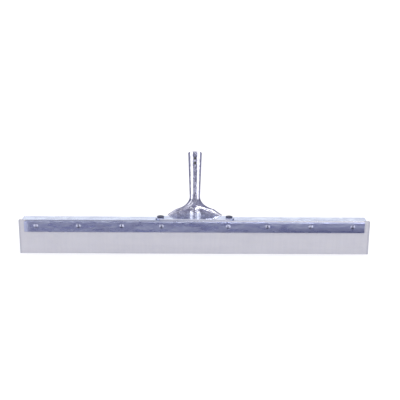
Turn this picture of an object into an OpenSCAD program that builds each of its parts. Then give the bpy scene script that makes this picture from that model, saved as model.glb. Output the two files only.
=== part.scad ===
// Straight floor squeegee head: a rubber blade held between a flat steel strip
// and a steel angle by eight rivets, with a leaning tapered handle socket on top.
// X runs along the blade, the strip faces -Y, the socket leans towards +Y.
// The origin is the middle of the blade's working edge.

/* [Blade] */
// Length of the rubber blade
blade_len = 914.4; // [600:0.1:1100]
// Height of the rubber blade
blade_h = 88.9; // [75:0.1:110]
// Thickness of the rubber blade
blade_t = 9.5; // [6:0.1:12]

/* [Frame] */
// Length of the steel angle behind the blade
frame_len = 902; // [590:1:1090]
// Depth of the angle's top flange
flange_d = 31.75; // [31:0.05:36]
// Height of the angle's upright leg
leg_h = 31.75; // [26:0.05:40]
// Thickness of the angle's steel
frame_t = 3.2; // [2.5:0.1:3.6]
// Length of the flat strip in front of the blade
strip_len = 886; // [580:1:1080]
// Height of the flat strip
strip_h = 29; // [26:0.5:40]
// Thickness of the flat strip
strip_t = 3; // [2:0.1:4]

/* [Rivets] */
// Diameter of the rivets' shanks
rivet_d = 6.35; // [4:0.05:7]
// Diameter of the rivets' round front heads
rivet_head_d = 12.4; // [9:0.1:14]
// Height of the rivets' round front heads
rivet_head_h = 3.2; // [1.5:0.1:4]
// Distance from the top of the strip to the rivets
rivet_drop = 12.2; // [9:0.1:18]

/* [Bracket] */
// Length of the foot plate on the flange
foot_len = 206; // [200:1:214]
// Thickness of the foot plate
foot_t = 3; // [2:0.1:4]
// Distance between the two bracket bolts
bolt_pitch = 180; // [170:0.5:182]
// Diameter of the bracket bolts
bolt_d = 11.1; // [8:0.1:12]

/* [Socket] */
// Angle by which the socket leans back from upright
lean = 24; // [18:0.5:30]
// Width of the pressed skirt where it stands on the foot
skirt_w = 144; // [120:1:150]
// Height of the skirt's square shoulders above the foot
shoulder_h = 16.5; // [12:0.1:18]
// Width across the skirt's shoulders
shoulder_w = 99.8; // [90:0.1:110]
// Height of the throat, where the skirt becomes round, above the foot
throat_h = 46; // [42:0.5:50]
// Outer diameter at the throat
throat_d = 27.8; // [24:0.1:30]
// Length of the tapered ferrule above the throat
ferrule_len = 117; // [90:1:150]
// Outer diameter at the ferrule's mouth
mouth_d = 37; // [32:0.1:42]
// Thickness of the socket's steel
socket_t = 2.3; // [1.5:0.1:2.5]
// Length of the straight bore inside the mouth
land_len = 14; // [8:1:15]
// Diameter of the two nail holes in the ferrule
nail_hole_d = 7; // [4:0.5:8]

/* [Hidden] */
$fn = 64;
fit = 0.05;                               // running clearance round shanks
blade_y = blade_t / 2;                    // back face of the blade
strip_y = -blade_y - strip_t;             // front face of the strip
leg_y = blade_y + frame_t;                // back face of the upright leg
flange_y = blade_y + flange_d;            // rear edge of the flange
flange_z = blade_h - frame_t;             // underside of the flange
foot_z = blade_h + foot_t;                // top of the foot plate
rivet_z = blade_h - rivet_drop;
rivet_spread = [0.93, 0.682, 0.428, 0.196]; // rivets as parts of the strip's half length
rivet_x = [for (side = [-1, 1], part = rivet_spread) side * part * strip_len / 2];
rivet_hole_d = rivet_d + 2 * fit;
rivet_tail_d = 10;
rivet_tail_h = 2.2;
inner_fillet = 1.2;                       // inside the angle's corner
foot_y = blade_y + flange_d / 2;          // middle of the foot plate
bolt_y = foot_y - 2;
bolt_x = [-bolt_pitch / 2, bolt_pitch / 2];
bolt_turn = [33, 26];                     // how far each bolt was turned when tightened
bolt_hole_d = bolt_d + 1;
bolt_af = 17.5;                           // across the flats of a head
bolt_head_h = 4;
corner_cut = 0.7;                         // how far a hexagon's corners are turned off at the top
chamfer_run = 1.9;                        // slope of that cut, out for each mm down
washer_t = 2.4;
washer_d = 18;
washer_bore = bolt_d + 0.6;
washer_slit = 1.2;
nut_af = 17.5;
nut_t = 8.3;
bolt_tip = 2.5;                           // thread past the nut

throat_r = throat_d / 2;
mouth_r = mouth_d / 2;
bore_r = mouth_r - socket_t;
skirt_b = 8;                              // half depth of the skirt's wings
wall_h = 17;                              // height of the skirt's upright front
turn_h = 38;                              // height where the skirt has turned to the lean
skirt_face_y = flange_y - 1;              // front of the skirt's wings
rib_depth = 5;                            // how far the middle rib stands out
rib_w = 17;                               // half width of the middle rib
rib_fade = 10;                            // height where the rib starts to fade into the sheet
rib_top = 26;                             // height where it has gone
base_power = 6;                           // squareness of the skirt's section at the foot
flare_power = 2.78;                       // how the shoulders sweep into the throat
axis_y = flange_y + 10.5;                 // where the socket's axis meets the foot
open_angle = 100;                         // half angle that the skirt wraps at the foot
seam_gap = 0.4;                           // slit down the back of the socket
nail_drops = [18.5, 31.5];                // from the mouth to the nail holes
mouth_lip = 0.7;                          // chamfer round the outside of the mouth
throat_y = axis_y + throat_h * tan(lean);
seam_h = throat_h - 2;                    // height where the back of the sheet has closed
skirt_rows = 24;
skirt_cols = 48;
over = 1;                                 // how far a cutting shape passes a face
lap = 0.1;                                // how far joined shapes run into each other

// ---- shared shapes ----

// Runs a YZ outline along X, centred
module along_x(len) {
    translate([-len / 2, 0, 0])
        rotate([90, 0, 90]) linear_extrude(len) children();
}

// Holes from front to back at every rivet
module rivet_holes() {
    reach = strip_t + blade_t + frame_t;
    for (x = rivet_x)
        translate([x, reach, rivet_z]) rotate([90, 0, 0])
            cylinder(d = rivet_hole_d, h = 2 * reach);
}

// Upright holes at the two bracket bolts
module bolt_holes() {
    for (x = bolt_x)
        translate([x, bolt_y, flange_z - over])
            cylinder(d = bolt_hole_d, h = frame_t + foot_t + 2 * over);
}

// A dome of a given width and height, standing on z = 0
module dome(d, h) {
    r = (d * d / 4 + h * h) / (2 * h);
    intersection() {
        translate([0, 0, h - r]) sphere(r, $fn = 96);
        cylinder(d = 2 * d, h = 2 * h);
    }
}

// A hexagon of a given width across flats, with its outer corners turned off at the top
module hex_block(af, h) {
    corner_r = af / sqrt(3);
    top_r = corner_r - corner_cut;
    intersection() {
        cylinder(r = corner_r, h = h, $fn = 6);
        cylinder(r1 = top_r + chamfer_run * h, r2 = top_r, h = h);
    }
}

// ---- blade and frame ----

module rubber_blade() {
    color([0.79, 0.78, 0.83]) difference() {
        translate([-blade_len / 2, -blade_y, 0]) cube([blade_len, blade_t, blade_h]);
        rivet_holes();
    }
}

module clamp_strip() {
    color([0.46, 0.48, 0.62]) difference() {
        along_x(strip_len)
            translate([strip_y, blade_h - strip_h]) square([strip_t, strip_h]);
        rivet_holes();
    }
}

// The angle's outline: an upright leg, a flange, and a fillet in the corner
module angle_outline() {
    translate([blade_y, blade_h - leg_h]) square([frame_t, leg_h]);
    translate([blade_y, flange_z]) square([flange_d, frame_t]);
    difference() {
        translate([leg_y - lap, flange_z - inner_fillet])
            square([inner_fillet + lap, inner_fillet + lap]);
        translate([leg_y + inner_fillet, flange_z - inner_fillet]) circle(inner_fillet);
    }
}

module frame_angle() {
    color([0.8, 0.83, 0.9]) difference() {
        along_x(frame_len) angle_outline();
        rivet_holes();
        bolt_holes();
    }
}

// A round-headed rivet through strip, blade and leg, with a low head at the back
module strip_rivet(x) {
    color([0.72, 0.74, 0.8]) translate([x, strip_y, rivet_z]) rotate([90, 0, 0]) {
        dome(rivet_head_d, rivet_head_h);
        translate([0, 0, strip_y - leg_y]) cylinder(d = rivet_d, h = leg_y - strip_y);
        translate([0, 0, strip_y - leg_y]) mirror([0, 0, 1]) dome(rivet_tail_d, rivet_tail_h);
    }
}

// ---- bracket ----

module socket_foot() {
    end_r = flange_d / 2;
    color([0.8, 0.83, 0.9]) difference() {
        union() {
            translate([-foot_len / 2 + end_r, foot_y - end_r, blade_h])
                cube([foot_len - 2 * end_r, flange_d, foot_t]);
            for (side = [-1, 1])
                translate([side * (foot_len / 2 - end_r), foot_y, blade_h])
                    cylinder(r = end_r, h = foot_t);
        }
        bolt_holes();
    }
}

module bracket_bolt(i) {
    shank = foot_t + frame_t + washer_t + nut_t + bolt_tip;
    color([0.2, 0.22, 0.34]) translate([bolt_x[i], bolt_y, foot_z]) {
        rotate(bolt_turn[i]) hex_block(bolt_af, bolt_head_h);
        translate([0, 0, -shank]) cylinder(d = bolt_d, h = shank);
    }
}

// A split spring washer under the flange
module lock_washer(i) {
    color([0.7, 0.72, 0.78]) translate([bolt_x[i], bolt_y, flange_z - washer_t]) difference() {
        cylinder(d = washer_d, h = washer_t);
        translate([0, 0, -over]) cylinder(d = washer_bore, h = washer_t + 2 * over);
        translate([0, -washer_slit / 2, -over]) cube([washer_d, washer_slit, washer_t + 2 * over]);
    }
}

module bracket_nut(i) {
    color([0.7, 0.72, 0.78]) translate([bolt_x[i], bolt_y, flange_z - washer_t]) difference() {
        mirror([0, 0, 1]) hex_block(nut_af, nut_t);
        translate([0, 0, -nut_t - over]) cylinder(d = bolt_d + 2 * fit, h = nut_t + 2 * over);
    }
}

// ---- pressed skirt ----
// A sheet wrapped round a row of sections. The bottom one is wide, square and flat
// on the foot. The top one is round and lies across the leaning axis. The sheet is
// open at the back, where its two edges meet in a slit at the throat.

function ease(t) = let (c = min(max(t, 0), 1)) c * c * (3 - 2 * c);
function mix(a, b, t) = a + (b - a) * t;

// Half width of the section at height h
function half_w(h) = h < shoulder_h
    ? mix(skirt_w / 2, shoulder_w / 2, h / shoulder_h)
    : throat_r + (shoulder_w / 2 - throat_r)
        * pow((throat_h - h) / (throat_h - shoulder_h), flare_power);

// 0 on the upright part of the front, 1 where the skirt follows the leaning axis
function turn(h) = ease((h - wall_h) / (turn_h - wall_h));

// Squareness of the section at height h
function power(h) = mix(base_power, 2, ease(h / (wall_h + 1)));

// Half angle of the wrap at height h, from the front
function wrap(h) = mix(open_angle, 180 - seam_gap * 90 / (PI * throat_r),
    ease((h - shoulder_h) / (seam_h - shoulder_h)));

// The point of the outer face at height h and angle a from the front
function skin(h, a) =
    let (
        t = turn(h),
        b = mix(skirt_b, throat_r, t),
        p = power(h),
        x = half_w(h) * sin(a),
        depth = b * pow(max(1 - pow(abs(sin(a)), p), 0), 1 / p),
        rib = abs(x) < rib_w && abs(a) < 90
            ? rib_depth * (1 - ease((h - rib_fade) / (rib_top - rib_fade)))
                * pow(cos(90 * x / rib_w), 2) : 0,
        v = (abs(a) < 90 ? -depth : depth) - rib,
        mid_y = mix(skirt_face_y + skirt_b, axis_y + h * tan(lean), t)
    )
    [x, mid_y + v * cos(lean * t), foot_z + h - v * sin(lean * t)];

function unit(v) = v / norm(v);

// The outward direction of the outer face, from close neighbours
function outward(h, a) =
    let (
        du = skin(h, a + 0.5) - skin(h, a - 0.5),
        dv = skin(min(h + 0.1, throat_h), a) - skin(max(h - 0.1, 0), a)
    )
    unit(cross(du, dv));

function row_h(j) = throat_h * j / skirt_rows;
function col_a(i, h) = wrap(h) * (2 * i / skirt_cols - 1);

// The inner face lies one sheet thickness in, level with the outer one at both rims
function inner_skin(h, a) =
    let (n = outward(h, a), p = skin(h, a))
    h <= 0 ? p - socket_t * unit([n[0], n[1], 0])
    : h >= throat_h ? p + socket_t * unit([0, throat_y, foot_z + throat_h] - p)
    : p - socket_t * n;

module socket_skirt() {
    n = skirt_cols + 1;
    side = n * (skirt_rows + 1);
    outer = [for (j = [0:skirt_rows], i = [0:skirt_cols])
        skin(row_h(j), col_a(i, row_h(j)))];
    inner = [for (j = [0:skirt_rows], i = [0:skirt_cols])
        inner_skin(row_h(j), col_a(i, row_h(j)))];
    grid = [for (j = [0:skirt_rows - 1], i = [0:skirt_cols - 1]) j * n + i];
    faces = concat(
        [for (k = grid) each [[k, k + n, k + 1], [k + 1, k + n, k + n + 1]]],
        [for (k = grid) each [
            [side + k, side + k + 1, side + k + n],
            [side + k + 1, side + k + n + 1, side + k + n]]],
        [for (i = [0:skirt_cols - 1]) each [
            [i, i + 1, side + i], [i + 1, side + i + 1, side + i]]],
        [for (i = [0:skirt_cols - 1], k = skirt_rows * n) each [
            [k + i, side + k + i, k + i + 1], [k + i + 1, side + k + i, side + k + i + 1]]],
        [for (j = [0:skirt_rows - 1], k = j * n) each [
            [k, side + k, k + n], [k + n, side + k, side + k + n]]],
        [for (j = [0:skirt_rows - 1], k = j * n + skirt_cols) each [
            [k, k + n, side + k], [k + n, side + k + n, side + k]]]
    );
    color([0.62, 0.64, 0.76]) polyhedron(concat(outer, inner), faces, convexity = 8);
}

// ---- ferrule ----

// Places its children at the throat, with +Z along the socket's axis
module at_throat() {
    translate([0, throat_y, foot_z + throat_h]) rotate([-lean, 0, 0]) children();
}

module ferrule_wall() {
    rotate_extrude() polygon([
        [throat_r - socket_t, 0],
        [throat_r, 0],
        [mouth_r, ferrule_len - mouth_lip],
        [mouth_r - mouth_lip, ferrule_len],
        [bore_r, ferrule_len],
        [bore_r, ferrule_len - land_len]
    ]);
}

module handle_ferrule() {
    color([0.62, 0.64, 0.76]) at_throat() difference() {
        ferrule_wall();
        translate([-seam_gap / 2, 0, -over])
            cube([seam_gap, mouth_r + over, ferrule_len + 2 * over]);
        for (drop = nail_drops)
            translate([0, 0, ferrule_len - drop]) rotate([90, 0, 0])
                cylinder(d = nail_hole_d, h = mouth_r + over);
    }
}

rubber_blade();
clamp_strip();
frame_angle();
socket_foot();
socket_skirt();
handle_ferrule();
for (i = [1:8])
    strip_rivet(rivet_x[i - 1]);
for (i = [1:2]) {
    bracket_bolt(i - 1);
    lock_washer(i - 1);
    bracket_nut(i - 1);
}
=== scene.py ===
"""Floor squeegee head: rubber blade between a zinc strip and a steel angle, with a leaning socket."""

import math

import bpy
from mathutils import Matrix, Vector, noise


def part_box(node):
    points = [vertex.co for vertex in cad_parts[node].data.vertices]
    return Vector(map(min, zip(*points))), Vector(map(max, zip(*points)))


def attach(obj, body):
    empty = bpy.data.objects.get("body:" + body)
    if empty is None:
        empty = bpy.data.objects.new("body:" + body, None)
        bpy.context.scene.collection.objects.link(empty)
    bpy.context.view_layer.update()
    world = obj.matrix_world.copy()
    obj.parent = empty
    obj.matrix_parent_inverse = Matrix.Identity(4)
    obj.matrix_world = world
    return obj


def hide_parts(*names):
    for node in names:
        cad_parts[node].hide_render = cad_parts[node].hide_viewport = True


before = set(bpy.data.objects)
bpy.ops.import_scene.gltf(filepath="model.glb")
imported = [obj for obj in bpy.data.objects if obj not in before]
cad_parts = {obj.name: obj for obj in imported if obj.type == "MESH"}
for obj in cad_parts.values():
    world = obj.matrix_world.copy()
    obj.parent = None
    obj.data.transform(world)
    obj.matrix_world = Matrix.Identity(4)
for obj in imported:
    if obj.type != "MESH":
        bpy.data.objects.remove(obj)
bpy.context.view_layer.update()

MM = 0.001
scene = bpy.context.scene
scene.view_settings.view_transform = "Standard"

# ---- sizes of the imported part, in metres ----

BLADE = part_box("rubber_blade")
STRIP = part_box("clamp_strip")
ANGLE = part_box("frame_angle")
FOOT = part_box("socket_foot")
TOP_Z = ANGLE[1].z
HEAD_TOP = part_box("bracket_bolt_1")[1].z

# the socket's leaning axis meets the foot's top this far behind the flange, in millimetres
LEAN = math.radians(24)
AXIS = Vector((0, math.sin(LEAN), math.cos(LEAN)))
AXIS_BACK = 10.5

# the throat, where the skirt meets the ferrule: its height and outer radius in millimetres
THROAT_H, THROAT_R = 46, 13.9
THROAT = Vector((
    0,
    ANGLE[1].y + (AXIS_BACK + THROAT_H * math.tan(LEAN)) * MM,
    FOOT[1].z + THROAT_H * MM,
))
FERRULE_LEN = 117 * MM
MOUTH_R = 18.5 * MM
FLARE = (MOUTH_R - THROAT_R * MM) / FERRULE_LEN

# ---- camera ----

CAM_AT = Vector((-0.0140, -1.8488, 0.6880))
CAM_YAW, CAM_PITCH, CAM_ROLL = (math.radians(a) for a in (0.833, 16.336, 0.507))
CAM_LENS = 67.15


def make_camera():
    forward = Vector((
        math.sin(CAM_YAW) * math.cos(CAM_PITCH),
        math.cos(CAM_YAW) * math.cos(CAM_PITCH),
        -math.sin(CAM_PITCH),
    ))
    level = Vector((math.cos(CAM_YAW), -math.sin(CAM_YAW), 0))
    rise = level.cross(forward)
    right = math.cos(CAM_ROLL) * level + math.sin(CAM_ROLL) * rise
    up = math.cos(CAM_ROLL) * rise - math.sin(CAM_ROLL) * level
    camera = bpy.data.objects.new("camera", bpy.data.cameras.new("camera"))
    scene.collection.objects.link(camera)
    camera.data.lens = CAM_LENS
    camera.matrix_world = Matrix((
        (right.x, up.x, -forward.x, CAM_AT.x),
        (right.y, up.y, -forward.y, CAM_AT.y),
        (right.z, up.z, -forward.z, CAM_AT.z),
        (0, 0, 0, 1),
    ))
    scene.camera = camera


# ---- node graphs ----


class Graph:
    """Short calls for building one node tree. A value may be a number, a colour or a socket."""

    def __init__(self, tree):
        self.tree = tree
        tree.nodes.clear()

    def feed(self, socket, value):
        if isinstance(value, bpy.types.NodeSocket):
            self.tree.links.new(value, socket)
        elif value is not None:
            if isinstance(value, tuple) and len(value) == 3 and socket.type == "RGBA":
                value = (*value, 1)
            socket.default_value = value

    def node(self, kind, inputs=(), **settings):
        made = self.tree.nodes.new("ShaderNode" + kind)
        for name, value in settings.items():
            setattr(made, name, value)
        for key, value in dict(inputs).items():
            self.feed(made.inputs[key], value)
        return made

    def math(self, operation, *values):
        return self.node("Math", dict(enumerate(values)), operation=operation).outputs[0]

    def times(self, a, b):
        return self.math("MULTIPLY", a, b)

    def plus(self, a, b):
        return self.math("ADD", a, b)

    def ramp(self, value, low, high, out_low=0.0, out_high=1.0):
        """A smooth step from out_low at low to out_high at high."""
        ends = {"From Min": low, "From Max": high, "To Min": out_low, "To Max": out_high}
        made = self.node("MapRange", {"Value": value, **ends}, interpolation_type="SMOOTHSTEP")
        return made.outputs["Result"]

    def band(self, value, low, high, soft):
        """1 between low and high, with edges that fade over twice soft."""
        return self.times(
            self.ramp(value, low - soft, low + soft),
            self.ramp(value, high - soft, high + soft, 1, 0),
        )

    def blend(self, factor, a, b, how="MIX"):
        made = self.node("Mix", data_type="RGBA", blend_type=how)
        for index, value in ((0, factor), (6, a), (7, b)):
            self.feed(made.inputs[index], value)
        return made.outputs[2]

    def place(self, stretch=(1, 1, 1), shift=(0, 0, 0)):
        """The surface point in metres, stretched."""
        point = self.node("TexCoord").outputs["Object"]
        mapped = self.node("Mapping", {"Vector": point, "Scale": stretch, "Location": shift})
        return mapped.outputs[0]

    def axis(self, name):
        """One coordinate of the surface point, in metres."""
        return self.node("SeparateXYZ", {0: self.place()}).outputs[name]

    def noise(self, scale, stretch=(1, 1, 1), detail=4.0, rough=0.55, warp=0.0, shift=(0, 0, 0)):
        made = self.node("TexNoise", {
            "Vector": self.place(stretch, shift), "Scale": scale, "Detail": detail,
            "Roughness": rough, "Distortion": warp,
        })
        return made.outputs["Fac"]

    def cells(self, scale, stretch=(1, 1, 1), shift=(0, 0, 0)):
        """Voronoi cells: their Distance, and their Color, which is random from cell to cell."""
        return self.node("TexVoronoi", {"Vector": self.place(stretch, shift), "Scale": scale}).outputs

    def cell_tone(self, *where):
        """One random value in each cell."""
        return self.node("SeparateColor", {0: self.cells(*where)["Color"]}).outputs[0]

    def spots(self, scale, inner, outer, rare_low, rare_high):
        """Round spots in the rarer cells."""
        cells = self.cells(scale)
        spot = self.ramp(cells["Distance"], inner, outer, 1, 0)
        return self.times(spot, self.ramp(cells["Color"], rare_low, rare_high))

    def bump(self, height, strength, distance, under=None):
        made = self.node("Bump", {
            "Height": height, "Strength": strength, "Distance": distance, "Normal": under,
        })
        return made.outputs[0]


def surface(name):
    """A new material with one Principled shader, and the graph for building what feeds it."""
    material = bpy.data.materials.new(name)
    material.use_nodes = True
    graph = Graph(material.node_tree)
    shader = graph.node("BsdfPrincipled")
    out = graph.node("OutputMaterial")
    material.node_tree.links.new(shader.outputs[0], out.inputs[0])
    return material, graph, shader


# ---- materials ----


def make_rubber():
    """Pale grey rubber, mottled and dusty, with a worn working edge, painted shade on its cut ends and
    painted light on its top edge towards the right.
    """
    material, g, shader = surface("rubber")
    clouds = g.ramp(g.noise(9, (1, 1, 2.2), 5), 0.3, 0.7)
    mottle = g.ramp(g.noise(75, (1, 1, 1.4), 4, 0.6), 0.3, 0.72)
    streaks = g.ramp(g.noise(160, (1, 1, 0.05), 3), 0.35, 0.7)
    drag = g.ramp(g.noise(60, (0.06, 1, 1.6), 3, shift=(3, 0, 1)), 0.35, 0.7)
    colour = g.blend(clouds, (0.555, 0.545, 0.622), (0.600, 0.592, 0.668))
    colour = g.blend(g.times(mottle, 0.55), colour, (0.615, 0.603, 0.652))
    colour = g.blend(g.times(streaks, 0.22), colour, (0.500, 0.500, 0.585))
    colour = g.blend(g.times(drag, 0.25), colour, (0.655, 0.640, 0.715))
    specks = g.times(g.spots(420, 0.10, 0.20, 0.62, 0.7), 0.35)
    colour = g.blend(specks, colour, (0.40, 0.40, 0.47))
    height, across = g.axis("Z"), g.axis("X")
    worn = g.times(g.ramp(height, 0.0005, 0.005, 1, 0), g.ramp(g.noise(45, (1, 1, 1), 3), 0.3, 0.7))
    colour = g.blend(g.times(worn, 0.4), colour, (0.47, 0.48, 0.55))
    # painted shade: the rubber darkens near both cut ends
    ends = g.ramp(g.math("ABSOLUTE", across), BLADE[1].x - 0.0067, BLADE[1].x - 0.0022)
    colour = g.blend(g.times(ends, 0.75), colour, (0.43, 0.435, 0.52))
    colour = g.blend(1.0, colour, (0.885, 0.89, 0.885), "MULTIPLY")
    # painted light: between the plates the top edge is lighter towards the right, where the light falls,
    # and stays darker towards the left
    inside = g.times(g.ramp(across, -0.10, 0.05), g.ramp(across, STRIP[1].x - 0.002, STRIP[1].x, 1, 0))
    painted_top_light = g.times(inside, g.ramp(height, TOP_Z - 0.005, TOP_Z - 0.003))
    colour = g.blend(g.times(painted_top_light, 0.85), colour, (0.87, 0.85, 0.88))
    g.feed(shader.inputs["Base Color"], colour)
    g.feed(shader.inputs["Roughness"], g.ramp(mottle, 0, 1, 0.62, 0.78))
    shader.inputs["Specular IOR Level"].default_value = 0.28
    grain = g.bump(g.noise(1400, detail=2), 0.25, 0.0002)
    g.feed(shader.inputs["Normal"], g.bump(g.noise(110, (1, 1, 0.7), 3), 0.3, 0.0008, grain))
    return material


def make_zinc(name, sheared=None):
    """Blue-bright zinc plate with soft spangle and rolling marks. Its edge at y = sheared is dull."""
    material, g, shader = surface(name)
    crystals = g.cell_tone(95, (0.55, 1, 1))
    flecks = g.cell_tone(260, (0.6, 1, 1), (2, 1, 0))
    clouds = g.ramp(g.noise(26, (0.45, 1, 1), 5, 0.62, 0.6), 0.3, 0.7)
    rolling = g.ramp(g.noise(330, (0.02, 1, 1), 3), 0.3, 0.7)
    colour = g.blend(clouds, (0.60, 0.655, 0.815), (0.735, 0.785, 0.895))
    colour = g.blend(g.times(crystals, 0.45), colour, (0.555, 0.60, 0.79))
    colour = g.blend(g.times(flecks, 0.30), colour, (0.79, 0.83, 0.91))
    colour = g.blend(g.times(rolling, 0.20), colour, (0.56, 0.575, 0.70))
    shader.inputs["Metallic"].default_value = 1.0
    if sheared is not None:
        edge = g.ramp(g.axis("Y"), sheared + 0.0004, sheared + 0.0012, 1, 0)
        g.feed(shader.inputs["Metallic"], g.math("MULTIPLY_ADD", edge, -0.75, 1.0))
        colour = g.blend(g.times(edge, 0.8), colour, (0.80, 0.81, 0.90))
    g.feed(shader.inputs["Base Color"], colour)
    rough = g.plus(g.ramp(crystals, 0, 1, 0.12, 0.24), g.times(rolling, 0.08))
    g.feed(shader.inputs["Roughness"], rough)
    dents = g.bump(g.noise(32, (0.6, 1, 1), 3, 0.5, 0.4), 0.5, 0.0012)
    facets = g.bump(crystals, 0.25, 0.0002, dents)
    g.feed(shader.inputs["Normal"], g.bump(rolling, 0.10, 0.0001, facets))
    return material


def make_strip_zinc():
    """Duller galvanised sheet: blotches, streaks and scuffs along the strip, with painted shade low on its
    right half.
    """
    material, g, shader = surface("strip_zinc")
    blotches = g.ramp(g.noise(70, (0.38, 1, 1.3), 5, 0.62, 0.9), 0.36, 0.64)
    streaks = g.ramp(g.noise(210, (0.09, 1, 1), 4, 0.6, 0.4, (1, 0, 2)), 0.42, 0.66)
    spangle = g.cell_tone(150, (0.6, 1, 1))
    stains = g.ramp(g.noise(30, (0.5, 1, 1.6), 4, 0.6, 0.8, (4, 0, 0)), 0.5, 0.66)
    colour = g.blend(blotches, (0.545, 0.585, 0.800), (0.745, 0.795, 0.915))
    colour = g.blend(g.times(streaks, 0.45), colour, (0.80, 0.84, 0.93))
    colour = g.blend(g.times(spangle, 0.30), colour, (0.52, 0.55, 0.74))
    colour = g.blend(g.times(stains, 0.35), colour, (0.46, 0.47, 0.60))
    across, height = g.axis("X"), g.axis("Z")
    # painted shade: the strip darkens towards the bottom on its right half
    painted_low_shade = g.times(g.ramp(across, 0.0, 0.36), g.ramp(height, TOP_Z - 0.0289, TOP_Z - 0.0049, 1, 0))
    colour = g.blend(g.times(painted_low_shade, 0.75), colour, (0.25, 0.27, 0.42))
    g.feed(shader.inputs["Base Color"], g.blend(1.0, colour, (0.79, 0.79, 0.82), "MULTIPLY"))
    shader.inputs["Metallic"].default_value = 1.0
    scuffed = g.times(g.ramp(across, -0.02, 0.26), g.ramp(height, TOP_Z - 0.0229, TOP_Z - 0.0024))
    rough = g.plus(g.ramp(blotches, 0, 1, 0.22, 0.34), g.times(streaks, 0.12))
    rough = g.plus(rough, g.times(scuffed, 0.12))
    end = g.ramp(across, STRIP[0].x + 0.0085, STRIP[0].x + 0.0105, 0.22, 0)
    g.feed(shader.inputs["Roughness"], g.plus(rough, end))
    dents = g.bump(g.noise(85, (0.5, 1, 1), 4, 0.55, 0.5), 0.7, 0.0009)
    g.feed(shader.inputs["Normal"], g.bump(g.noise(420, (0.3, 1, 1), 3), 0.22, 0.0002, dents))
    return material


def shaded_bore_mask(g):
    """1 on the ferrule's inner wall, 0 outside it, from the distance to the socket's axis: where the
    tube's painted shade goes.
    """
    def vector(operation, inputs):
        return g.node("VectorMath", inputs, operation=operation).outputs

    from_throat = vector("SUBTRACT", {0: g.place(), 1: THROAT})[0]
    along = vector("DOT_PRODUCT", {0: from_throat, 1: AXIS})["Value"]
    nearest = vector("SCALE", {0: AXIS, "Scale": along})[0]
    radius = vector("DISTANCE", {0: from_throat, 1: nearest})["Value"]
    wall = g.math("MULTIPLY_ADD", along, FLARE, THROAT_R * MM)
    depth = g.math("SUBTRACT", wall, radius)
    return g.times(g.ramp(depth, 0.0008, 0.0016), g.ramp(along, -0.001, 0.001))


def dull_shaded_throat_mask(g):
    """1 at the front of the throat, where drawing the sheet left it dull and painted shade darkens its
    colour.
    """
    fade = 3.5 * MM
    heights = g.band(g.axis("Z"), THROAT.z - 15 * MM + fade, THROAT.z + 4 * MM + fade, fade)
    return g.times(heights, g.ramp(g.math("ABSOLUTE", g.axis("X")), 0.005, 0.0085, 1, 0))


def make_bright(name, tint, rough_low, rough_high, dent, socket=False):
    """Bright plated steel, lightly dented, with fine scratches.

    On the socket it is also dull with painted shade at the front of the throat, greyer near the foot, and
    painted dark with shade in the tube.
    """
    material, g, shader = surface(name)
    clouds = g.ramp(g.noise(85, detail=5, rough=0.6, warp=0.5), 0.36, 0.64)
    scratch = g.ramp(g.noise(700, (1, 1, 0.06), 2), 0.52, 0.7)
    pit = g.spots(480, 0.08, 0.2, 0.66, 0.74)

    def shade(share):
        return tuple(min(share * c, 0.97) for c in tint)

    colour = g.blend(clouds, shade(0.68), tint)
    colour = g.blend(g.times(pit, 0.5), colour, shade(0.45))
    colour = g.blend(g.times(scratch, 0.25), colour, shade(1.15))
    shader.inputs["Metallic"].default_value = 1.0
    rough = g.plus(g.ramp(clouds, 0, 1, rough_low, rough_high), g.times(scratch, 0.06))
    if socket:
        inside, dull_shaded_throat = shaded_bore_mask(g), dull_shaded_throat_mask(g)
        pressed = g.ramp(g.axis("Z"), FOOT[1].z + 0.006, FOOT[1].z + 0.014, 1, 0)
        g.feed(shader.inputs["Metallic"], g.math("MULTIPLY_ADD", pressed, -0.17, 1.0))
        # painted shade: dark at the front of the throat
        colour = g.blend(g.times(dull_shaded_throat, 0.72), colour, (0.17, 0.165, 0.25))
        # painted shade: near black on the tube's inner wall
        colour = g.blend(g.times(inside, 0.92), colour, (0.030, 0.029, 0.036))
        rough = g.math("MAXIMUM", rough, g.plus(g.times(inside, 0.6), g.times(dull_shaded_throat, 0.46)))
    g.feed(shader.inputs["Base Color"], colour)
    g.feed(shader.inputs["Roughness"], rough)
    soft = g.bump(g.noise(38, (1, 1, 1), 3, 0.5), dent, 0.0015)
    g.feed(shader.inputs["Normal"], g.bump(pit, -0.2, 0.0003, soft))
    return material


def make_dark():
    """Black oxide on hexagon heads, rubbed bright in spots, with a painted reflection lightening the lower
    half of each head.
    """
    material, g, shader = surface("black_oxide")
    patches = g.ramp(g.noise(260, detail=5, rough=0.62), 0.35, 0.7)
    rubbed = g.ramp(g.noise(620, detail=3), 0.6, 0.72)
    colour = g.blend(patches, (0.030, 0.033, 0.075), (0.075, 0.080, 0.150))
    colour = g.blend(g.times(rubbed, 0.5), colour, (0.25, 0.26, 0.34))
    # painted reflection: the lower part of each head is lightened, as if mirroring the bright foot
    painted_low_reflection = g.ramp(g.axis("Z"), HEAD_TOP - 0.0034, HEAD_TOP - 0.0018, 1, 0)
    colour = g.blend(g.times(painted_low_reflection, 0.8), colour, (0.46, 0.47, 0.60))
    g.feed(shader.inputs["Base Color"], colour)
    shader.inputs["Metallic"].default_value = 0.85
    g.feed(shader.inputs["Roughness"], g.ramp(patches, 0, 1, 0.32, 0.5))
    g.feed(shader.inputs["Normal"], g.bump(g.noise(900, detail=3), 0.2, 0.0002))
    return material


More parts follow.
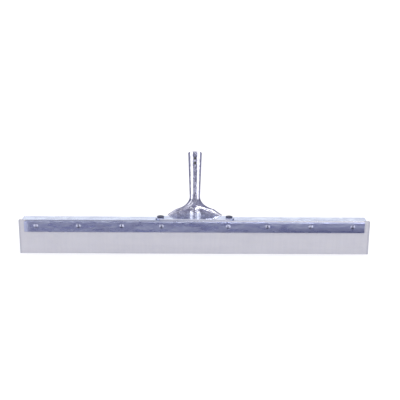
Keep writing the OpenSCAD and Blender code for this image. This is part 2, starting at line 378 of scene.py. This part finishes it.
def make_floor_material():
    material, g, shader = surface("floor_paper")
    tone = g.ramp(g.noise(2.5, detail=3), 0.3, 0.7)
    colour = g.blend(tone, (0.93, 0.93, 0.935), (0.945, 0.945, 0.95))
    g.feed(shader.inputs["Base Color"], colour)
    shader.inputs["Roughness"].default_value = 0.9
    shader.inputs["Specular IOR Level"].default_value = 0.1
    shader.inputs["Emission Color"].default_value = (1, 1, 1, 1)
    shader.inputs["Emission Strength"].default_value = 0.20
    return material


RUBBER = make_rubber()
ZINC = make_zinc("zinc_plate")
FOOT_ZINC = make_zinc("foot_zinc", FOOT[0].y)
STRIP_ZINC = make_strip_zinc()
SOCKET = make_bright("socket_steel", (0.92, 0.925, 1.0), 0.10, 0.17, 0.6, True)
BRIGHT = make_bright("rivet_steel", (0.54, 0.56, 0.68), 0.30, 0.46, 1.3)
DARK = make_dark()

# ---- mesh helpers ----

ARC_STEPS = 4


def add(name, verts, faces, material, sharp=35):
    """A new smooth piece, with hard edges where its faces meet at more than sharp degrees."""
    mesh = bpy.data.meshes.new(name)
    mesh.from_pydata([tuple(v) for v in verts], [], faces)
    mesh.validate()
    mesh.polygons.foreach_set("use_smooth", [True] * len(mesh.polygons))
    mesh.set_sharp_from_angle(angle=math.radians(sharp))
    mesh.materials.append(material)
    piece = bpy.data.objects.new(name, mesh)
    scene.collection.objects.link(piece)
    piece.modifiers.new("shade", "WEIGHTED_NORMAL").keep_sharp = True
    return piece


def quarter(steps):
    """The angles of a quarter turn, from 0."""
    return [k / steps * math.pi / 2 for k in range(steps + 1)]


def rounded(corners, radii):
    """A counter-clockwise 2D outline with an arc at each square corner that has a radius."""
    out = []
    count = len(corners)
    for i, (corner, radius) in enumerate(zip(corners, radii)):
        p = Vector(corner)
        a = (Vector(corners[i - 1]) - p).normalized()
        b = (Vector(corners[(i + 1) % count]) - p).normalized()
        if not radius:
            out.append(p)
            continue
        centre = p + (a + b) * radius
        start, end = p + a * radius - centre, p + b * radius - centre
        out += [centre + start * math.cos(t) + end * math.sin(t) for t in quarter(ARC_STEPS)]
    return out


def inset(outline, distance):
    """The outline moved inwards by a distance."""
    out = []
    count = len(outline)
    for i, p in enumerate(outline):
        a = (p - outline[i - 1]).normalized()
        b = (outline[(i + 1) % count] - p).normalized()
        n = Vector((-a.y - b.y, a.x + b.x))
        n = n / max(n.length_squared / 2, 1e-9)
        out.append(p + n * distance)
    return out


def sweep(name, outline, box, material, stations, end_r, move=None):
    """Runs a YZ outline along the box's X, with rounded ends. move(point) gives a point's final place."""
    x_low, x_high = box[0].x, box[1].x
    head = [(x_low + end_r * (1 - math.cos(t)), end_r * (1 - math.sin(t))) for t in quarter(ARC_STEPS)]
    # a ring close to each end keeps the long faces' shading flat
    inner_low, inner_high = x_low + 1.5 * end_r, x_high - 1.5 * end_r
    body = [(inner_low + (inner_high - inner_low) * k / stations, 0) for k in range(stations + 1)]
    tail = [(x_low + x_high - x, depth) for x, depth in reversed(head)]
    rings = head + body + tail
    verts = []
    n = len(outline)
    for x, depth in rings:
        for p in (inset(outline, depth) if depth else outline):
            point = Vector((x, p.x, p.y))
            verts.append(move(point) if move else point)
    faces = [tuple(reversed(range(n)))]
    for j in range(len(rings) - 1):
        for i in range(n):
            a, b = j * n + i, j * n + (i + 1) % n
            faces.append((a, b, b + n, a + n))
    last = (len(rings) - 1) * n
    faces.append(tuple(range(last, last + n)))
    return add(name, verts, faces, material)


# ---- blade, strip and angle ----

# how far the rubber's top edge sinks between the plates, and rises beyond their ends
SUNK_LEFT, SUNK_RIGHT = 3.35 * MM, 0.25 * MM
PROUD_LEFT, PROUD_RIGHT = 1.5 * MM, 0.6 * MM
# the lengths over which the edge's move dies out, the plates take hold and the face's waves begin
TOP_RUN, HELD_RUN, FREE_RUN = 8 * MM, 5 * MM, 20 * MM


def clamp(t):
    return min(max(t, 0), 1)


def mix(a, b, t):
    return a + (b - a) * t


def blade_move(point):
    """The rubber's long soft waves, and its top edge sitting a little low between the plates."""
    x, y, z = point
    wave = 0.35 * MM * noise.noise(Vector((x * 9, 0.0, 4.0)))
    ripple = 0.12 * MM * noise.noise(Vector((x * 55, z * 30, 9.0)))
    y += (wave + ripple) * clamp((STRIP[0].z - z) / FREE_RUN)
    along = (x - STRIP[0].x) / (STRIP[1].x - STRIP[0].x)
    held = clamp((x - STRIP[0].x) / HELD_RUN) * clamp((STRIP[1].x - x) / HELD_RUN)
    lift = mix(mix(PROUD_LEFT, PROUD_RIGHT, along), -mix(SUNK_LEFT, SUNK_RIGHT, along), held)
    z += lift * clamp((z - TOP_Z + TOP_RUN) / TOP_RUN)
    return Vector((x, y, z))


def make_blade():
    y0, y1, z0, z1 = BLADE[0].y, BLADE[1].y, BLADE[0].z, BLADE[1].z
    radii = [0.6 * MM, 0.6 * MM, 0.8 * MM, 0.8 * MM]
    outline = rounded([(y0, z0), (y1, z0), (y1, z1), (y0, z1)], radii)
    # more points up the two faces, so that the face can wave
    dense = []
    for i, p in enumerate(outline):
        q = outline[(i + 1) % len(outline)]
        parts = 12 if (q - p).length > 40 * MM else 1
        dense += [p.lerp(q, k / parts) for k in range(parts)]
    piece = sweep("blade_rubber", dense, BLADE, RUBBER, stations=260, end_r=1.0 * MM, move=blade_move)
    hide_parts("rubber_blade")
    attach(piece, "root")


# the bend at the strip's left end
BEND_RUN, BEND_DEPTH, BEND_POWER = 10 * MM, 2.0 * MM, 1.1


def strip_move(point):
    """The sheared left end leans back into the rubber, and the long edges run slightly unevenly."""
    x, y, z = point
    y += BEND_DEPTH * max(1 - (x - STRIP[0].x) / BEND_RUN, 0) ** BEND_POWER
    y += 0.10 * MM * noise.noise(Vector((x * 24, z * 20, 2.0)))
    uneven = 0.18 * MM if z > STRIP[0].z + 15 * MM else 0.108 * MM
    z += uneven * noise.noise(Vector((x * 60, 5.0, round(z * 60))))
    return Vector((x, y, min(z, TOP_Z)))


def make_strip():
    y0, y1, z0, z1 = STRIP[0].y, STRIP[1].y, STRIP[0].z, STRIP[1].z
    radii = [0.8 * MM, 0.2 * MM, 0.3 * MM, 0]
    outline = rounded([(y0, z0), (y1, z0), (y1, z1), (y0, z1)], radii)
    # the sheared top edge is rolled back, steep and nearly flat: how far back, and how far down
    rolled = [(2.1, 0), (1.9, 0.12), (0.3, 2.9), (0.06, 3.5), (0, 4.1)]
    outline = outline[:-1] + [Vector((y0 + a * MM, z1 - b * MM)) for a, b in rolled]
    piece = sweep("strip_plate", outline, STRIP, STRIP_ZINC, stations=220, end_r=0.5 * MM, move=strip_move)
    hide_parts("clamp_strip")
    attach(piece, "root")


def make_angle():
    y0, y1, z0, z1 = ANGLE[0].y, ANGLE[1].y, ANGLE[0].z, ANGLE[1].z
    thick, fillet_r = 3.2 * MM, 1.2 * MM
    back, under = y0 + thick, z1 - thick
    corners = [(y0, z0), (back, z0), (back, under), (y1, under), (y1, z1), (y0, z1)]
    radii = [0.3 * MM, 1.4 * MM, 0, 1.4 * MM, 0.25 * MM, 0.5 * MM]
    outline = rounded(corners, radii)
    # the concave corner's fillet
    centre = Vector((back + fillet_r, under - fillet_r))
    fillet = [centre + fillet_r * Vector((-math.cos(t), math.sin(t))) for t in quarter(5)]
    at = outline.index(Vector(corners[2]))
    outline = outline[:at] + fillet + outline[at + 1:]
    piece = sweep("angle_rail", outline, ANGLE, ZINC, stations=40, end_r=0.5 * MM)
    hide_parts("frame_angle")
    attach(piece, "root")


make_camera()
make_blade()
make_strip()
make_angle()

# ---- pressed skirt, in millimetres and, for its angles, degrees ----

FOOT_TOP = FOOT[1].z / MM
FACE_Y = ANGLE[1].y / MM - 1
AXIS_Y = ANGLE[1].y / MM + AXIS_BACK
# the sides lean in straight to the shoulder, and curve from there to the throat
SKIRT_W, SHOULDER_H, SHOULDER_W, FLARE_POWER = 144, 16.5, 99.8, 2.78
# the section is nearly square up to the wall's height, and a leaning circle from where it has turned
SKIRT_B, WALL_H, TURN_H = 8, 17, 38
WALL_POWER, TUBE_POWER = 6, 2
# the upright rib at the front
RIB_DEPTH, RIB_W, RIB_FADE, RIB_TOP = 5, 17, 10, 26
SHEET_T, SEAM, OPEN_ANGLE = 2.3, 0.4, 100


def ease(t):
    c = clamp(t)
    return c * c * (3 - 2 * c)


def half_w(h):
    """Half the skirt's width at height h."""
    if h < SHOULDER_H:
        return mix(SKIRT_W / 2, SHOULDER_W / 2, h / SHOULDER_H)
    rest = (THROAT_H - h) / (THROAT_H - SHOULDER_H)
    return THROAT_R + (SHOULDER_W / 2 - THROAT_R) * max(rest, 0) ** FLARE_POWER


def skin(h, a):
    """The skirt's outer face at height h and angle a from the front, in millimetres."""
    t = ease((h - WALL_H) / (TURN_H - WALL_H))
    b = mix(SKIRT_B, THROAT_R, t)
    p = mix(WALL_POWER, TUBE_POWER, ease(h / (WALL_H + 1)))
    x = half_w(h) * math.sin(a)
    depth = b * max(1 - abs(math.sin(a)) ** p, 0) ** (1 / p)
    front = abs(a) < math.pi / 2
    rib = 0
    if front and abs(x) < RIB_W:
        faded = ease((h - RIB_FADE) / (RIB_TOP - RIB_FADE))
        rib = RIB_DEPTH * (1 - faded) * math.cos(math.pi / 2 * x / RIB_W) ** 2
    v = (-depth if front else depth) - rib
    mid_y = mix(FACE_Y + SKIRT_B, AXIS_Y + h * math.tan(LEAN), t)
    return Vector((x, mid_y + v * math.cos(LEAN * t), FOOT_TOP + h - v * math.sin(LEAN * t)))


def wrap(h):
    """How far round from the front the sheet reaches at height h."""
    closed = 180 - SEAM * 90 / (math.pi * THROAT_R)
    t = ease((h - SHOULDER_H) / (THROAT_H - 2 - SHOULDER_H))
    return math.radians(mix(OPEN_ANGLE, closed, t))


def make_skirt():
    rows, cols = 64, 160
    n = cols + 1
    # small steps along the face, for its normal
    da, dh = 0.01, 0.1
    outer, inner = [], []
    for j in range(rows + 1):
        h = THROAT_H * j / rows
        for i in range(n):
            a = wrap(h) * (2 * i / cols - 1)
            p = skin(h, a)
            du = skin(h, a + da) - skin(h, a - da)
            dv = skin(min(h + dh, THROAT_H), a) - skin(max(h - dh, 0), a)
            out = du.cross(dv).normalized()
            if j == 0:
                out = Vector((out.x, out.y, 0)).normalized()
            outer.append(p)
            inner.append(p - SHEET_T * out)
    side = len(outer)
    verts = [v * MM for v in outer + inner]
    faces = []
    for j in range(rows):
        for i in range(cols):
            k = j * n + i
            faces.append((k, k + 1, k + 1 + n, k + n))
            faces.append((side + k, side + k + n, side + k + n + 1, side + k + 1))
    for i in range(cols):
        faces.append((i, side + i, side + i + 1, i + 1))
        k = rows * n + i
        faces.append((k, k + 1, side + k + 1, side + k))
    for j in range(rows):
        k = j * n
        faces.append((k, k + n, side + k + n, side + k))
        k = j * n + cols
        faces.append((k, side + k, side + k + n, k + n))
    piece = add("skirt_sheet", verts, faces, SOCKET, 50)
    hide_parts("socket_skirt")
    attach(piece, "root")


make_skirt()

# ---- nail burrs on the ferrule ----

# their distances below the mouth, their size, and how deep their edge goes into the wall
BURR_DROPS = (25.2 * MM, 39.4 * MM)
BURR_HALF_W, BURR_HALF_H = 2.7 * MM, 1.6 * MM
BURR_RISE, BURR_SINK = 1.3 * MM, 0.15 * MM


def make_nail_burrs():
    """The raised burr that the punch left below each nail hole, a low rounded lens."""
    rings, cols = 6, 28
    side = Vector((1, 0, 0))
    out = side.cross(AXIS)
    turns = quarter(rings)
    for index, drop in enumerate(BURR_DROPS, 1):
        along = FERRULE_LEN - drop
        wall = THROAT_R * MM + FLARE * along
        verts = [THROAT + AXIS * along + out * (wall + BURR_RISE - BURR_SINK)]
        faces = [(0, 1 + (i + 1) % cols, 1 + i) for i in range(cols)]
        for t in turns[1:]:
            reach, rise = math.sin(t), math.cos(t)
            for i in range(cols):
                a = 2 * math.pi * i / cols
                across, up = BURR_HALF_W * reach * math.cos(a), BURR_HALF_H * reach * math.sin(a)
                lift = math.sqrt(wall ** 2 - across ** 2) + BURR_RISE * rise - BURR_SINK
                verts.append(THROAT + AXIS * (along + up) + side * across + out * lift)
        for j in range(rings - 1):
            for i in range(cols):
                p, q = 1 + j * cols + i, 1 + j * cols + (i + 1) % cols
                faces.append((p, q, q + cols, p + cols))
        rim = 1 + (rings - 1) * cols
        faces.append(tuple(range(rim, rim + cols)))
        piece = add(f"nail_burr_{index}", verts, faces, SOCKET, 80)
        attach(piece, "root")


make_nail_burrs()

# ---- carried-over CAD nodes ----


def finish_node(name, material):
    """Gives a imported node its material, and returns the node."""
    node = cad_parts[name]
    node.data.materials.clear()
    node.data.materials.append(material)
    return node


def round_edges(node, width):
    """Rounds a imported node's edges, after joining its flat faces' triangles."""
    weld = node.modifiers.new("weld", "WELD")
    weld.merge_threshold = 1e-6
    flat = node.modifiers.new("flat", "DECIMATE")
    flat.decimate_type = "DISSOLVE"
    flat.angle_limit = math.radians(0.5)
    bevel = node.modifiers.new("round", "BEVEL")
    bevel.width = width
    bevel.segments = 2
    bevel.limit_method = "ANGLE"
    bevel.angle_limit = math.radians(40)
    node.modifiers.new("shade", "WEIGHTED_NORMAL").keep_sharp = True


round_edges(finish_node("socket_foot", FOOT_ZINC), 1.0 * MM)
finish_node("handle_ferrule", SOCKET)
for i in range(1, 9):
    finish_node(f"strip_rivet_{i}", BRIGHT)
for i in (1, 2):
    finish_node(f"bracket_bolt_{i}", DARK)
    finish_node(f"lock_washer_{i}", BRIGHT)
    finish_node(f"bracket_nut_{i}", BRIGHT)

# ---- floor, world and light ----

FLOOR_HALF = 60


def make_floor():
    corners = [(a * FLOOR_HALF, b * FLOOR_HALF, 0) for a, b in ((-1, -1), (1, -1), (1, 1), (-1, 1))]
    piece = add("floor", corners, [(0, 1, 2, 3)], make_floor_material())
    piece.visible_glossy = False


def make_world():
    """White for the camera and for soft light, and a studio of softboxes for the metal to mirror."""
    world = bpy.data.worlds.new("studio")
    scene.world = world
    world.use_nodes = True
    world.cycles.sampling_method = "NONE"
    g = Graph(world.node_tree)
    x, y, z = g.node("SeparateXYZ", {0: g.node("TexCoord").outputs["Generated"]}).outputs
    # in degrees: azimuth is 0 at the front and positive to the right, turned is its absolute value
    azimuth = g.times(g.math("ARCTAN2", x, g.times(y, -1)), 180 / math.pi)
    turned = g.math("ABSOLUTE", azimuth)
    height = g.times(g.math("ARCSINE", z), 180 / math.pi)

    # dark at the bottom, a paler band below the horizon, and grey from there up
    colour = g.blend(g.ramp(height, -45, -30), (0.10, 0.10, 0.16), (0.47, 0.47, 0.61))
    colour = g.blend(g.ramp(height, -25, -11), colour, (0.265, 0.265, 0.38))
    # what stands in it: each one's place round the object, its heights, its strength and its colour
    softboxes = (
        # at both sides, and lower
        (g.band(turned, 45, 91, 2.5), g.band(height, -35, 42, 4), 1, (1.7, 1.7, 1.75)),
        (g.band(turned, 36, 60, 2), g.band(height, -30, -9, 2), 1, (2.3, 2.3, 2.35)),
        # behind the object, overhead, dark screens towards the back, and lower at both sides again
        (g.ramp(turned, 157, 165), g.band(height, 11.5, 34, 3), 1, (1.10, 1.12, 1.16)),
        (g.band(turned, -1, 60, 8), g.band(height, 60, 72, 3), 0.22, (1.0, 1.0, 1.06)),
        (g.band(turned, 112, 150, 4), g.band(height, 8, 32, 4), 0.8, (0.09, 0.09, 0.16)),
        (g.band(turned, 36, 50, 2), g.band(height, 5, 20, 2), 1, (2.0, 2.0, 2.05)),
        # on the left, from the back to the front
        (g.band(azimuth, -117, -84, 3), g.band(height, 44, 62, 4), 1, (1.35, 1.35, 1.42)),
        (g.band(azimuth, -60, -24, 5), g.band(height, 53, 66, 3), 0.7, (1.15, 1.15, 1.22)),
        (g.band(azimuth, -26, -12, 2), g.band(height, 18, 27, 2), 1, (0.80, 0.80, 0.86)),
        # on the right, and two narrow ones at the front, for the strip's rolled top edge
        (g.band(azimuth, 13, 27, 2), g.band(height, 13, 22, 2), 1, (2.2, 2.2, 2.25)),
        (g.band(azimuth, 27, 42, 3), g.band(height, 34, 50, 3), 1, (2.4, 2.4, 2.45)),
        (g.band(azimuth, 10.5, 24, 3), g.band(height, 37, 46, 2), 1, (9.5, 9.5, 9.6)),
        (g.band(azimuth, -20, -10, 2), g.band(height, 39.5, 44.5, 2), 1, (1.9, 1.9, 1.95)),
    )
    for width, heights, strength, light in softboxes:
        colour = g.blend(g.times(g.times(width, heights), strength), colour, light)
    rays = g.node("LightPath")
    seen = g.blend(rays.outputs["Is Glossy Ray"], (0.97, 0.97, 0.98), colour)
    seen = g.blend(rays.outputs["Is Camera Ray"], seen, (1.0, 1.0, 1.0))
    background = g.node("Background", {"Color": seen, "Strength": 1.0})
    out = g.node("OutputWorld")
    world.node_tree.links.new(background.outputs[0], out.inputs[0])


def make_key():
    """A broad soft light from the front and above, which the metal doesn't mirror."""
    light = bpy.data.lights.new("key", "SUN")
    light.energy = 0.32
    light.angle = math.radians(50)
    lamp = bpy.data.objects.new("key", light)
    scene.collection.objects.link(lamp)
    lamp.rotation_mode = "QUATERNION"
    lamp.rotation_quaternion = Vector((-0.05, 0.80, -0.60)).to_track_quat("-Z", "Y")
    lamp.visible_glossy = False


make_floor()
make_world()
make_key()
